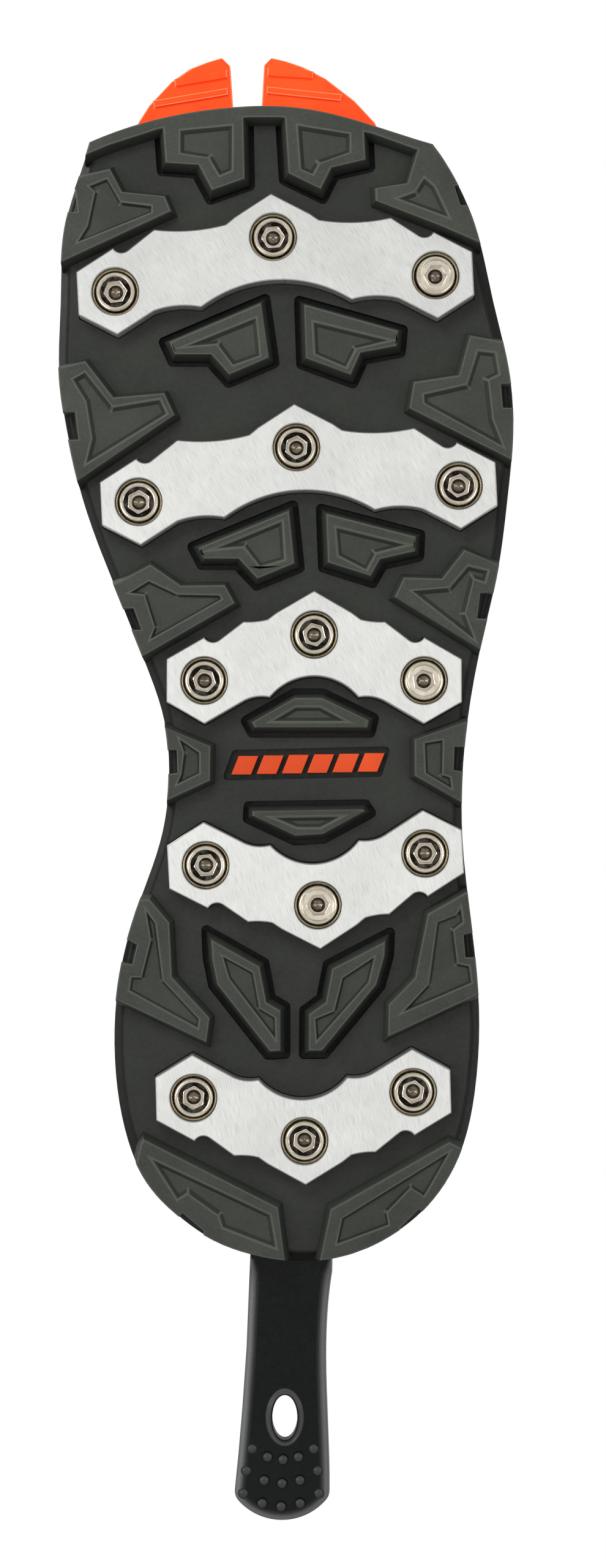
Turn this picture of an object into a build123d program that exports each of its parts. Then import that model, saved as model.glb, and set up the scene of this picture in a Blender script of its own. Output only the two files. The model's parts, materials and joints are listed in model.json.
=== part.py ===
from build123d import *
import os
from math import radians, tan

# Interchangeable ice outsole for a winter boot (left foot), traction side down.
# Frame: +Z up towards the boot, toe towards -Y, heel strap towards +Y,
# arch (medial) side towards -X.  The ground plane is z = 0.

os.makedirs("parts", exist_ok=True)

# ---- heights above the ground, mm ----
LUG_TOP = 0.6
TREAD_FLOOR = 5.0
POCKET_FLOOR = 6.5
MOAT_TOP = 7.8
WALL_SHOULDER = 11.0
PLATE_BOTTOM = 11.0
PLATE_TOP = 14.0
WALL_TOP = 20.5

# ---- sole outline and wall, mm ----
CREASE_INSET = 2.3
WALL_SPREAD = 1.0157
WALL_FOOT_INSET = 1.5
FLOOR_SPREAD = 1.007
LUG_DRAFT = 16.0
LUG_SHOULDER = 10.0
RECESS_DEPTH = 1.0
WIDE_SLOPE = 1.1
NARROW_SLOPE = 0.6
MOAT_WIDTH = 1.45
WALL_EDGE = 0.8
SOLE_HALF_SPAN = 70.0
SOLE_LENGTH = 400.0

# ---- traction bars and fasteners, mm ----
BAR_THICK = 6.5
BAR_GAP = 0.35
BAR_EDGE = 0.3
SHANK_R = 2.95
BAR_HOLE_R = 3.3
COUNTERBORE_R = 6.3
COUNTERBORE_DEPTH = 4.6
WASHER_R = 6.15
WASHER_HOLE_R = 3.2
WASHER_THICK = 0.6
WASHER_CUP_R = 5.32
WASHER_CUP_TOP = 1.3
HEAD_R = 5.2
HEAD_FACE = 0.35
HEAD_ROUND = 0.85
HEX_FLATS = 5.0
HEX_DEPTH = 2.4
INSERT_R = 4.5
INSERT_BORE_R = 3.0
FLANGE_R = 7.0
FLANGE_THICK = 1.0
RELIEF_PITCH = 12.0
RELIEF_RADIUS = 5.2
RELIEF_DEPTH = 0.9
RELIEF_MARGIN = 6.5
HOLE_CLEARANCE = 0.05

# ---- joints, mm ----
FLEX_Y = -59.0
FLEX_NOTCH_HALF_ANGLE = 17.0
STRAP_HINGE_Y = 128.4
STRAP_BOTTOM = 10.6
STRAP_ROOT_FRONT = 106.0
STRAP_EDGE = 1.2
STRAP_TIP_CORNER_R = 4.0
STRAP_ROOT_X = (-9.0, 13.2)
STRAP_ROOT_CORNER_R = 3.0

# ---- sole outline at lug level: arch side from the toe corner, heel, outer side, toe ----
MEDIAL_EDGE = [
    (-51.8, -172.0), (-54.5, -163.3), (-58.5, -149.3), (-59.6, -130.0), (-60.0, -110.3),
    (-57.9, -95.0), (-54.0, -78.0), (-47.0, -58.3), (-36.6, -32.3), (-32.3, -19.3),
    (-30.8, -4.0), (-33.0, 13.2), (-39.7, 32.7), (-44.4, 52.2), (-45.2, 71.7),
    (-42.6, 90.0), (-36.3, 104.9),
]
HEEL_EDGE = [(-28.4, 113.2), (-18.6, 119.9), (-8.7, 123.5), (5.0, 125.4), (18.7, 123.1), (30.2, 117.4)]
LATERAL_EDGE = [
    (37.8, 111.0), (46.4, 97.7), (51.0, 78.2), (51.9, 60.0), (50.1, 38.0), (47.4, 12.0),
    (48.4, -15.0), (52.5, -38.8), (56.9, -58.3), (59.5, -77.8), (60.9, -94.0),
    (60.0, -110.3), (55.6, -129.8), (51.0, -149.3), (46.2, -160.9), (39.5, -171.5),
]
TOE_EDGE = [(20.0, -177.6), (10.0, -180.2), (-1.0, -181.6), (-13.6, -181.3), (-30.0, -179.0)]

# ---- rubber lugs: side lugs run past the sole edge and are trimmed to it ----
SIDE_LUGS = {
    "toe_band": [
        (-60, -164.7), (-52.9, -165.9), (-45.9, -168.8), (-33.0, -173.0), (-9.4, -176.1),
        (-1.0, -176.1), (22.4, -172.0), (35.0, -167.5), (48.0, -162.7), (48.0, -190.0), (-60, -190.0),
    ],
    "toe_medial": [
        (-63.0, -160.8), (-45.4, -165.2), (-42.0, -158.8), (-30.7, -157.7), (-28.3, -152.0), (-63.0, -135.9),
    ],
    "toe_lateral": [
        (34.4, -170.2), (31.6, -161.1), (22.8, -159.7), (23.0, -154.5), (40.0, -147.9),
        (60.0, -139.4), (60.0, -172.0),
    ],
    "ball_medial": [
        (-66.0, -110.9), (-52.0, -114.4), (-44.5, -104.7), (-30.9, -105.9), (-27.4, -98.4), (-62.0, -74.9),
    ],
    "ball_lateral": [
        (48.2, -121.2), (45.2, -110.4), (33.2, -108.6), (31.7, -99.9), (66.0, -82.6), (66.0, -117.8),
    ],
    "arch_medial": [
        (-54.0, -50.7), (-35.2, -60.8), (-26.8, -55.0), (-15.0, -55.2), (-11.4, -48.7), (-46.0, -28.8),
    ],
    "arch_lateral": [
        (47.2, -64.7), (41.1, -56.9), (30.9, -57.2), (27.6, -50.3), (60.0, -30.5), (64.0, -57.5),
    ],
    "waist_medial": [(-40.0, -21.2), (-18.2, -12.2), (-18.4, -1.6), (-38.0, 7.5)],
    "waist_lateral": [(33.2, -14.0), (33.3, -2.9), (56.0, 10.0), (56.0, -22.0)],
    "heel_medial": [
        (-44.0, 28.2), (-35.0, 27.7), (-29.1, 34.7), (-28.4, 49.0), (-18.4, 59.8), (-19.6, 68.5),
        (-52.0, 53.1),
    ],
    "heel_lateral": [
        (36.8, 32.0), (33.4, 49.0), (26.4, 56.2), (26.2, 67.1), (60.0, 51.3), (56.0, 21.2),
    ],
    "heel_end_medial": [
        (-37.5, 90.7), (-38.9, 93.0), (-40.2, 98.6), (-50.0, 110.0), (-50.0, 132.0), (2.4, 132.0),
        (-0.5, 109.5),
    ],
    "heel_end_lateral": [
        (43.6, 91.6), (47.5, 93.7), (58.0, 96.0), (58.0, 132.0), (6.6, 132.0), (8.1, 124.6), (11.2, 109.9),
    ],
}
CENTRE_LUGS = {
    "toe_centre_medial": [
        (-33.4, -177.2), (-32.4, -164.2), (-23.3, -163.6), (-19.6, -156.6), (-9.2, -160.3),
        (-9.6, -180.2),
    ],
    "toe_centre_lateral": [
        (-1.2, -180.2), (0.0, -161.8), (10.2, -156.8), (13.3, -163.0), (22.7, -165.2), (22.2, -176.2),
    ],
    "ball_centre_medial": [
        (-31.9, -118.7), (-5.1, -130.1), (-2.7, -113.2), (-14.8, -108.0), (-19.8, -113.6), (-29.6, -113.6),
    ],
    "ball_centre_lateral": [
        (4.0, -129.6), (31.4, -121.9), (30.8, -116.0), (21.0, -114.2), (18.2, -107.9), (4.6, -112.9),
    ],
    "flex_centre_medial": [
        (-24.3, -64.4), (2.3, -75.3), (4.0, -58.9), (-7.4, -54.2), (-12.5, -59.7), (-21.9, -59.7),
    ],
    "flex_centre_lateral": [
        (9.8, -74.4), (36.0, -67.6), (35.7, -61.9), (26.1, -59.7), (23.4, -54.9), (10.4, -59.0),
    ],
    "waist_front": [
        (-10.1, -18.2), (2.6, -25.4), (10.3, -25.4), (23.7, -18.9), (22.8, -15.2), (-8.5, -15.2),
    ],
    "waist_rear": [(-9.4, 4.5), (21.5, 4.0), (22.9, 6.2), (10.5, 12.9), (2.8, 13.4), (-9.6, 7.6)],
    "heel_centre_medial": [
        (-20.6, 37.4), (-5.4, 46.0), (-3.6, 55.4), (0.2, 57.6), (0.2, 70.0), (-4.3, 70.3),
        (-18.8, 51.9), (-20.2, 44.9),
    ],
    "heel_centre_lateral": [
        (28.0, 38.0), (11.6, 46.5), (9.9, 55.4), (5.4, 58.6), (5.3, 70.1), (10.6, 70.0),
        (25.4, 52.1), (27.7, 44.0),
    ],
}

# ---- shallow panels sunk in the lug faces, with wide or narrow sloping sides ----
WIDE_PANELS = [
    [(-27.7, -175.1), (-27.7, -169.0), (-20.0, -167.8), (-17.2, -163.0), (-13.8, -164.4),
     (-13.7, -176.5)],
    [(3.5, -176.5), (4.4, -164.7), (7.6, -163.3), (9.2, -166.3), (17.5, -169.2), (17.5, -174.2)],
    [(29.8, -157.0), (34.8, -158.8), (37.2, -162.6), (40.0, -160.2), (44.0, -151.8)],
    [(-27.0, -117.5), (-7.4, -125.4), (-6.4, -115.2), (-13.6, -112.7), (-17.8, -118.3)],
    [(7.6, -124.4), (28.6, -119.3), (19.0, -117.0), (16.5, -112.0), (8.1, -115.6)],
    [(-56.3, -109.0), (-52.9, -110.9), (-45.6, -101.6), (-32.9, -103.7), (-31.1, -99.8),
     (-52.9, -86.3), (-51.1, -93.3), (-52.7, -103.1)],
    [(51.4, -116.7), (56.2, -116.1), (57.2, -110.3), (54.2, -108.8), (55.4, -98.3), (58.3, -91.0),
     (37.2, -102.6), (37.0, -105.0), (48.5, -107.6)],
    [(-19.7, -63.6), (-0.4, -71.5), (0.2, -61.0), (-6.5, -59.1), (-10.7, -64.5)],
    [(13.6, -69.8), (33.2, -65.0), (24.3, -62.8), (21.9, -58.2), (14.3, -62.1)],
    [(48.8, -59.5), (54.3, -58.2), (53.4, -55.0), (50.3, -56.0), (48.0, -46.8), (50.8, -39.6),
     (33.9, -52.8), (43.8, -53.6)],
    [(-3.8, -18.0), (3.0, -22.0), (9.6, -22.0), (17.0, -18.0)],
    [(-3.5, 7.3), (15.7, 7.0), (9.6, 10.2), (3.5, 10.2)],
    [(-35.6, 97.8), (-3.6, 112.9), (-2.0, 122.0), (-16.4, 116.4), (-17.5, 113.0), (-25.6, 107.2),
     (-28.4, 109.0)],
]
NARROW_PANELS = [
    [(-52.0, -160.3), (-47.0, -162.3), (-43.4, -156.0), (-35.2, -155.0), (-35.3, -153.3),
     (-55.0, -145.3), (-52.2, -149.8), (-50.3, -158.8)],
    [(-41.2, -52.2), (-36.0, -55.4), (-28.4, -51.8), (-17.2, -51.6), (-16.6, -50.6), (-35.7, -39.8),
     (-34.4, -43.2), (-37.1, -51.8)],
    [(-28.0, -13.6), (-22.5, -9.8), (-22.5, -4.3), (-28.6, -1.3), (-27.4, -4.0), (-26.6, -9.8)],
    [(37.3, -12.4), (37.6, -4.4), (44.6, -0.2), (44.2, -3.2), (42.0, -4.0), (42.2, -13.2)],
    [(-36.8, 32.0), (-34.2, 35.5), (-32.3, 50.6), (-22.6, 61.0), (-22.9, 63.4), (-41.2, 53.4),
     (-40.6, 49.8), (-37.9, 49.9), (-35.4, 39.9)],
    [(40.7, 35.2), (45.8, 33.2), (47.0, 31.2), (47.6, 35.2), (44.9, 37.3), (46.0, 46.2),
     (49.2, 46.9), (49.8, 51.3), (31.4, 59.2), (38.4, 51.7)],
    [(-16.4, 44.2), (-8.3, 48.6), (-6.6, 58.1), (-2.4, 60.6), (-2.2, 66.4), (-14.6, 50.2)],
    [(24.0, 44.4), (15.5, 50.0), (13.3, 58.8), (8.2, 60.9), (8.6, 66.8), (22.4, 51.2)],
    [(44.0, 96.2), (37.2, 108.0), (33.6, 105.6), (27.2, 112.2), (27.8, 115.6), (13.9, 120.8),
     (15.4, 113.9)],
]

# ---- notches cut into the outer ends of the side lugs ----
EDGE_NOTCHES = [
    [(-66.0, -158.0), (-55.2, -158.5), (-54.6, -152.5), (-66.0, -151.8)],
    [(60.0, -160.2), (45.0, -159.2), (46.6, -154.2), (60.0, -154.7)],
    [(-66.0, -99.5), (-55.3, -99.5), (-54.3, -92.4), (-66.0, -92.0)],
    [(66.0, -107.2), (57.3, -106.9), (57.8, -100.8), (66.0, -100.6)],
    [(-52.0, -47.6), (-39.8, -47.8), (-37.8, -42.2), (-52.0, -42.0)],
    [(62.0, -52.2), (51.8, -51.8), (51.0, -45.2), (62.0, -44.8)],
    [(-38.0, -10.4), (-28.4, -10.4), (-28.2, -4.4), (-38.0, -3.4)],
    [(54.0, -11.4), (45.0, -11.2), (44.8, -5.2), (54.0, -3.8)],
    [(-48.0, 36.0), (-38.9, 41.0), (-40.1, 46.1), (-48.0, 44.8)],
    [(56.0, 36.0), (47.4, 38.4), (47.9, 44.2), (56.0, 44.6)],
    [(-30.0, 114.6), (-26.8, 111.8), (-21.2, 116.5), (-21.6, 119.4), (-27.0, 124.0)],
    [(38.4, 112.6), (35.6, 110.7), (30.6, 115.6), (30.0, 118.2), (36.0, 122.0)],
]

# ---- accent inlay in the waist: a row of plain slanted blocks in a sunk field ----
INLAY_FIELD = [(-16.8, -2.4), (-13.8, -10.6), (28.6, -11.6), (26.0, -3.4)]
INLAY_CORNER_R = 1.2
INLAY_BLOCKS = 6
INLAY_START_X = -14.2
INLAY_PITCH = 6.75
INLAY_WIDTH = 5.3
INLAY_HEIGHT = 5.0
INLAY_SLANT = 2.0
INLAY_BASE_Y = -4.0
INLAY_RISE_PER_BLOCK = -0.15
INLAY_FLOOR = 6.4
INLAY_FACE = 4.9

# ---- traction bars: three hexagonal pads joined by a web ----
HEX_PAD_R = 11.55
LONG_BAR = {
    "reach": 42.6, "rise": 12.35, "upper_tip": (31.5, 15.9), "web_sag": (22.0, 15.2),
    "lower_tip": (20.0, -5.4), "pad_dip": (26.5, -4.75), "web_bow": (10.4, -0.75), "web_crown": 0.8,
}
SHORT_BAR = {
    "reach": 29.2, "rise": 12.2, "upper_tip": (18.8, 15.7), "web_sag": (15.2, 15.8),
    "lower_tip": (11.8, -4.5), "pad_dip": (16.0, -4.5), "web_bow": (6.3, -0.25), "web_crown": 1.15,
}
# name: (kind, centre of the outer screws, turn of the bar's own x axis in degrees)
BARS = {
    "toe_bar": (LONG_BAR, (-2.33, -134.39), 177.1),
    "ball_bar": (LONG_BAR, (3.87, -78.56), 177.1),
    "arch_bar": (SHORT_BAR, (7.97, -28.96), 180.0),
    "heel_front_bar": (SHORT_BAR, (8.31, 18.50), -3.1),
    "heel_rear_bar": (SHORT_BAR, (5.08, 81.07), -1.5),
}

# ---- toe tabs of the lock plate and the steps moulded across them ----
TAB_MEDIAL = [
    (-41.0, -176.0), (-39.5, -179.6), (-36.5, -184.3), (-30.5, -190.7), (-25.5, -194.2), (-20.9, -196.0),
    (-16.9, -197.2), (-14.6, -194.9), (-13.9, -184.3), (-13.9, -176.0),
]
TAB_LATERAL = [
    (-6.1, -176.0), (-6.1, -184.7), (-5.5, -195.2), (-3.5, -197.2), (0.4, -196.3), (5.1, -194.7),
    (11.1, -191.6), (18.9, -185.6), (24.4, -179.7), (26.0, -176.0),
]
TAB_STEPS = [
    ((-29.6, -190.3), (-15.4, -192.7)),
    ((-35.3, -184.6), (-15.2, -188.0)),
    ((-4.6, -193.2), (7.8, -192.4)),
    ((-4.8, -188.4), (15.4, -186.3)),
]
TAB_STEP_WIDTH = 1.9
TAB_STEP_HEIGHT = 0.8

# ---- heel strap ----
STRAP_MEDIAL = [(-9.0, 128.4), (-10.0, 146.3), (-11.7, 170.7), (-13.6, 190.5)]
STRAP_LATERAL = [(12.2, 190.5), (11.8, 170.7), (11.3, 152.4), (13.2, 128.4)]
STRAP_TIP_Y = 197.2
STRAP_TIP_X = -0.7
HOOK_HOLE_CENTRE = (0.1, 169.1)
HOOK_HOLE_WIDTH = 6.8
HOOK_HOLE_LENGTH = 12.1
HOOK_RIM_WIDTH = 1.8
HOOK_RIM_HEIGHT = 0.6
GRIP_DOT_R = 1.45
GRIP_DOT_HEIGHT = 0.6
GRIP_ROWS = [(-0.4, 180.4, 8.3, 2.8), (-0.65, 186.8, 9.65, 3.3), (-0.9, 193.0, 10.2, 3.4)]
GRIP_ROW_HALF = 2


def spread(points, factor):
    """The same outline, enlarged about the middle of the sole."""
    return [(x * factor, y * factor) for x, y in points]


def bar_plane(name, height):
    """The bar's own plane: x along its outer screws, y towards its centre screw."""
    kind, centre, turn = BARS[name]
    return Plane(origin=(centre[0], centre[1], height)).rotated((0, 0, turn))


def bar_screws(name):
    """Screw centres in the bar's own plane."""
    kind = BARS[name][0]
    return [(-kind["reach"], 0), (kind["reach"], 0), (0, kind["rise"])]


def bar_outline(kind):
    """A bar's outline as a face: half of it drawn, the other half mirrored."""
    end = kind["reach"]
    half_r = HEX_PAD_R / 2
    pad_x = HEX_PAD_R * 3 ** 0.5 / 2
    with BuildSketch() as outline:
        with BuildLine():
            Line((0, 23.9), (10.0, 18.1))
            Line((10.0, 18.1), (12.4, 16.3))
            ThreePointArc((12.4, 16.3), kind["web_sag"], kind["upper_tip"])
            Line(kind["upper_tip"], (end - 4.1, 10.9))
            ThreePointArc((end - 4.1, 10.9), (end - 2.6, 10.25), (end, HEX_PAD_R))
            Polyline((end, HEX_PAD_R), (end + pad_x, half_r), (end + pad_x, -half_r),
                     (end, -HEX_PAD_R), (end - pad_x, -half_r))
            ThreePointArc((end - pad_x, -half_r), kind["pad_dip"], kind["lower_tip"])
            ThreePointArc(kind["lower_tip"], kind["web_bow"], (0, kind["web_crown"]))
            mirror(about=Plane.YZ)
        make_face()
    return outline.sketch


def closed_faces(outlines):
    """Straight-sided faces, one for each outline."""
    with BuildSketch() as faces:
        for outline in outlines:
            with BuildLine():
                Polyline(*outline, close=True)
            make_face()
    return faces.sketch


def inset(points, distance):
    """A closed outline moved inwards, corners kept as corners."""
    turning = sum(x * points[i - 1][1] - y * points[i - 1][0] for i, (x, y) in enumerate(points))
    inwards = distance if turning > 0 else -distance
    moved = []
    for index, point in enumerate(points):
        here = Vector(*point)
        arriving = (here - Vector(*points[index - 1])).normalized()
        leaving = (Vector(*points[(index + 1) % len(points)]) - here).normalized()
        across = arriving + leaving
        step = inwards / (1 + arriving.dot(leaving))
        moved.append((here.X + across.Y * step, here.Y - across.X * step))
    return moved


def sole_face(distance):
    """The sole outline moved inwards: one curve round both sides and the heel, one at the toe."""
    around = MEDIAL_EDGE + HEEL_EDGE + LATERAL_EDGE
    points = inset(around + TOE_EDGE, distance)
    with BuildSketch() as outline:
        with BuildLine():
            Spline(*points[:len(around)])
            Spline(*points[len(around) - 1:], points[0])
        make_face()
    return outline.sketch


# The outlines that every layer is drawn from.
sole_outline = sole_face(0)
crease_outline = sole_face(CREASE_INSET)
wall_outline = scale(sole_outline, by=WALL_SPREAD)
wall_foot_outline = sole_face(WALL_FOOT_INSET)

side_lug_faces = closed_faces([spread(lug, FLOOR_SPREAD) for lug in SIDE_LUGS.values()])
centre_lug_faces = closed_faces([spread(lug, FLOOR_SPREAD) for lug in CENTRE_LUGS.values()])
notch_faces = closed_faces([spread(notch, FLOOR_SPREAD) for notch in EDGE_NOTCHES])

# Rubber tread: lugs first, trimmed to the sole edge, then the floor slab and everything cut into it.
with BuildPart() as outsole:
    with BuildSketch(Plane.XY.offset(LUG_SHOULDER)):
        add(side_lug_faces)
    extrude(amount=TREAD_FLOOR - LUG_SHOULDER)
    with BuildSketch(Plane.XY.offset(TREAD_FLOOR)):
        add(side_lug_faces)
    extrude(amount=TREAD_FLOOR - LUG_TOP, dir=(0, 0, -1), taper=LUG_DRAFT)
    with BuildSketch(Plane.XY.offset(LUG_TOP - 1)):
        add(sole_outline)
    extrude(amount=LUG_SHOULDER + 2, mode=Mode.INTERSECT)
    with BuildSketch(Plane.XY.offset(LUG_TOP - 1)):
        add(notch_faces)
    extrude(amount=LUG_SHOULDER - 2, mode=Mode.SUBTRACT)
    with BuildSketch(Plane.XY.offset(TREAD_FLOOR)):
        add(crease_outline)
    extrude(amount=PLATE_BOTTOM - TREAD_FLOOR)
    with BuildSketch(Plane.XY.offset(TREAD_FLOOR)):
        add(centre_lug_faces)
        offset(amount=MOAT_WIDTH, kind=Kind.ARC)
        add(side_lug_faces, mode=Mode.SUBTRACT)
    extrude(amount=MOAT_TOP - TREAD_FLOOR, mode=Mode.SUBTRACT)
    with BuildSketch(Plane.XY.offset(MOAT_TOP)):
        add(centre_lug_faces)
    extrude(amount=TREAD_FLOOR - MOAT_TOP)
    with BuildSketch(Plane.XY.offset(TREAD_FLOOR)):
        add(centre_lug_faces)
    extrude(amount=TREAD_FLOOR - LUG_TOP, dir=(0, 0, -1), taper=LUG_DRAFT)
    for panels, slope in ((WIDE_PANELS, WIDE_SLOPE), (NARROW_PANELS, NARROW_SLOPE)):
        for panel in panels:
            with BuildSketch(Plane.XY.offset(LUG_TOP)):
                add(closed_faces([panel]))
            with BuildSketch(Plane.XY.offset(LUG_TOP + RECESS_DEPTH)):
                add(closed_faces([inset(panel, slope)]))
            loft(ruled=True, mode=Mode.SUBTRACT)
    with BuildSketch(Plane.XY.offset(TREAD_FLOOR)):
        with BuildLine():
            Polyline(*INLAY_FIELD, close=True)
        make_face()
        fillet(vertices(), INLAY_CORNER_R)
    extrude(amount=INLAY_FLOOR - TREAD_FLOOR, mode=Mode.SUBTRACT)
    for name in BARS:
        with BuildSketch(bar_plane(name, LUG_TOP - 1)):
            add(bar_outline(BARS[name][0]))
            offset(amount=BAR_GAP, kind=Kind.ARC)
        extrude(amount=POCKET_FLOOR - LUG_TOP + 1, mode=Mode.SUBTRACT)
        with BuildSketch(bar_plane(name, POCKET_FLOOR)):
            with Locations(*bar_screws(name)):
                Circle(INSERT_R + HOLE_CLEARANCE)
        extrude(amount=PLATE_BOTTOM - POCKET_FLOOR, mode=Mode.SUBTRACT)

# Lock plate: fills the sole inside the wall, carries the inserts, ends in two toe tabs.
insert_centres = [
    bar_plane(name, 0).from_local_coords(Vector(x, y, 0)) for name in BARS for x, y in bar_screws(name)
]
relief_rows = [
    (RELIEF_PITCH * (column + 0.5 * (row % 2)), RELIEF_PITCH * 0.866 * row)
    for row in range(-24, 18)
    for column in range(-8, 9)
]
plate_edge = crease_outline.face().outer_wire()
relief_centres = [
    (x, y) for x, y in relief_rows
    if crease_outline.face().is_inside((x, y, 0))
    and plate_edge.distance_to(Vertex(x, y, 0)) > RELIEF_MARGIN
    and abs(y - FLEX_Y) > RELIEF_MARGIN
    and y < STRAP_ROOT_FRONT - RELIEF_MARGIN
    and all((Vector(x, y, 0) - centre).length > FLANGE_R + RELIEF_MARGIN for centre in insert_centres)
]

with BuildSketch() as strap_root_outline:
    with BuildLine():
        Polyline(
            (STRAP_ROOT_X[0], STRAP_HINGE_Y), (STRAP_ROOT_X[0], STRAP_ROOT_FRONT),
            (STRAP_ROOT_X[1], STRAP_ROOT_FRONT), (STRAP_ROOT_X[1], STRAP_HINGE_Y), close=True,
        )
    make_face()
    fillet(vertices().group_by(Axis.Y)[0], STRAP_ROOT_CORNER_R)

with BuildSketch() as tab_outlines:
    with BuildLine():
        Polyline(*TAB_MEDIAL, close=True)
    make_face()
    with BuildLine():
        Polyline(*TAB_LATERAL, close=True)
    make_face()

with BuildPart() as lock_plate:
    with BuildSketch(Plane.XY.offset(PLATE_BOTTOM)):
        add(crease_outline)
        add(tab_outlines.sketch)
    extrude(amount=PLATE_TOP - PLATE_BOTTOM)
    for start, end in TAB_STEPS:
        with BuildSketch(Plane.XY.offset(PLATE_BOTTOM)):
            with BuildLine():
                Line(start, end)
            trace(line_width=TAB_STEP_WIDTH)
        extrude(amount=-TAB_STEP_HEIGHT)
    with BuildSketch(Plane.XY.offset(PLATE_BOTTOM)):
        add(strap_root_outline.sketch)
    extrude(amount=PLATE_TOP - PLATE_BOTTOM, mode=Mode.SUBTRACT)
    with BuildSketch(Plane.XY.offset(PLATE_BOTTOM)):
        with Locations(*insert_centres):
            Circle(INSERT_R + HOLE_CLEARANCE)
    extrude(amount=PLATE_TOP - PLATE_BOTTOM, mode=Mode.SUBTRACT)
    with BuildSketch(Plane.XY.offset(PLATE_TOP - FLANGE_THICK)):
        with Locations(*insert_centres):
            Circle(FLANGE_R + HOLE_CLEARANCE)
    extrude(amount=FLANGE_THICK, mode=Mode.SUBTRACT)
    with BuildSketch(Plane.XY.offset(PLATE_TOP - RELIEF_DEPTH)):
        with Locations(*relief_centres):
            RegularPolygon(radius=RELIEF_RADIUS, side_count=6)
    extrude(amount=RELIEF_DEPTH, mode=Mode.SUBTRACT)

# Side wall: flares out from the tread floor, then stands up round the boot.
with BuildPart() as side_wall:
    with BuildSketch(Plane.XY.offset(TREAD_FLOOR)):
        add(wall_foot_outline)
    with BuildSketch(Plane.XY.offset(WALL_SHOULDER)):
        add(wall_outline)
    loft(ruled=True)
    with BuildSketch(Plane.XY.offset(WALL_SHOULDER)):
        add(wall_outline)
    extrude(amount=WALL_TOP - WALL_SHOULDER)
    with BuildSketch(Plane.XY.offset(TREAD_FLOOR - 1)):
        add(crease_outline)
    extrude(amount=WALL_TOP - TREAD_FLOOR + 2, mode=Mode.SUBTRACT)
    chamfer(faces().sort_by(Axis.Z)[-1].edges(), WALL_EDGE)
    with BuildSketch(Plane.XY.offset(PLATE_BOTTOM)):
        add(tab_outlines.sketch)
        add(strap_root_outline.sketch)
    extrude(amount=PLATE_TOP - PLATE_BOTTOM, mode=Mode.SUBTRACT)
    for name in BARS:
        with BuildSketch(bar_plane(name, LUG_TOP)):
            add(bar_outline(BARS[name][0]))
            offset(amount=BAR_GAP, kind=Kind.ARC)
        extrude(amount=POCKET_FLOOR - LUG_TOP, mode=Mode.SUBTRACT)
    add(outsole.part, mode=Mode.SUBTRACT)
    notch_height = WALL_TOP + 1 - PLATE_TOP
    notch_half = notch_height * tan(radians(FLEX_NOTCH_HALF_ANGLE))
    with BuildSketch(Plane.YZ.offset(-SOLE_HALF_SPAN)):
        with BuildLine():
            Polyline(
                (FLEX_Y, PLATE_TOP), (FLEX_Y + notch_half, PLATE_TOP + notch_height),
                (FLEX_Y - notch_half, PLATE_TOP + notch_height), close=True,
            )
        make_face()
    extrude(amount=2 * SOLE_HALF_SPAN, mode=Mode.SUBTRACT)

# Heel strap: the root lies in the plate, the free end carries the hook hole and grip dots.
with BuildPart() as heel_strap_root:
    with BuildSketch(Plane.XY.offset(PLATE_BOTTOM)):
        add(strap_root_outline.sketch)
    extrude(amount=PLATE_TOP - PLATE_BOTTOM)

with BuildPart() as heel_strap:
    with BuildSketch(Plane.XY.offset(STRAP_BOTTOM)):
        with BuildLine():
            Spline(*STRAP_MEDIAL)
            ThreePointArc(STRAP_MEDIAL[-1], (STRAP_TIP_X, STRAP_TIP_Y), STRAP_LATERAL[0])
            Spline(*STRAP_LATERAL)
            Line(STRAP_LATERAL[-1], STRAP_MEDIAL[0])
        make_face()
        fillet(vertices().group_by(Axis.Y)[-1], STRAP_TIP_CORNER_R)
    extrude(amount=PLATE_TOP - STRAP_BOTTOM)
    chamfer(faces().sort_by(Axis.Z)[0].edges().sort_by(Axis.Y)[1:], STRAP_EDGE)
    chamfer(faces().sort_by(Axis.Z)[-1].edges().sort_by(Axis.Y)[1:], STRAP_EDGE)
    with BuildSketch(Plane.XY.offset(STRAP_BOTTOM)):
        with Locations(HOOK_HOLE_CENTRE):
            Ellipse(HOOK_HOLE_WIDTH / 2 + HOOK_RIM_WIDTH, HOOK_HOLE_LENGTH / 2 + HOOK_RIM_WIDTH)
    extrude(amount=-HOOK_RIM_HEIGHT)
    with BuildSketch(Plane.XY.offset(STRAP_BOTTOM)):
        for centre_x, centre_y, half_span, sag in GRIP_ROWS:
            dots = [step / GRIP_ROW_HALF for step in range(-GRIP_ROW_HALF, GRIP_ROW_HALF + 1)]
            with Locations(*[(centre_x + half_span * t, centre_y - sag * t * t) for t in dots]):
                Circle(GRIP_DOT_R)
    extrude(amount=-GRIP_DOT_HEIGHT)
    with BuildSketch(Plane.XY.offset(STRAP_BOTTOM - HOOK_RIM_HEIGHT)):
        with Locations(HOOK_HOLE_CENTRE):
            Ellipse(HOOK_HOLE_WIDTH / 2, HOOK_HOLE_LENGTH / 2)
    extrude(amount=PLATE_TOP - STRAP_BOTTOM + HOOK_RIM_HEIGHT, mode=Mode.SUBTRACT)

# Accent inlay: separate slanted blocks standing in the sunk field.
with BuildPart() as accent_inlay:
    for index in range(INLAY_BLOCKS):
        left = INLAY_START_X + INLAY_PITCH * index
        base = INLAY_BASE_Y + INLAY_RISE_PER_BLOCK * index
        with BuildSketch(Plane.XY.offset(INLAY_FACE)):
            with BuildLine():
                Polyline(
                    (left, base), (left + INLAY_WIDTH, base),
                    (left + INLAY_WIDTH + INLAY_SLANT, base - INLAY_HEIGHT),
                    (left + INLAY_SLANT, base - INLAY_HEIGHT), close=True,
                )
            make_face()
        extrude(amount=INLAY_FLOOR - INLAY_FACE)


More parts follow.
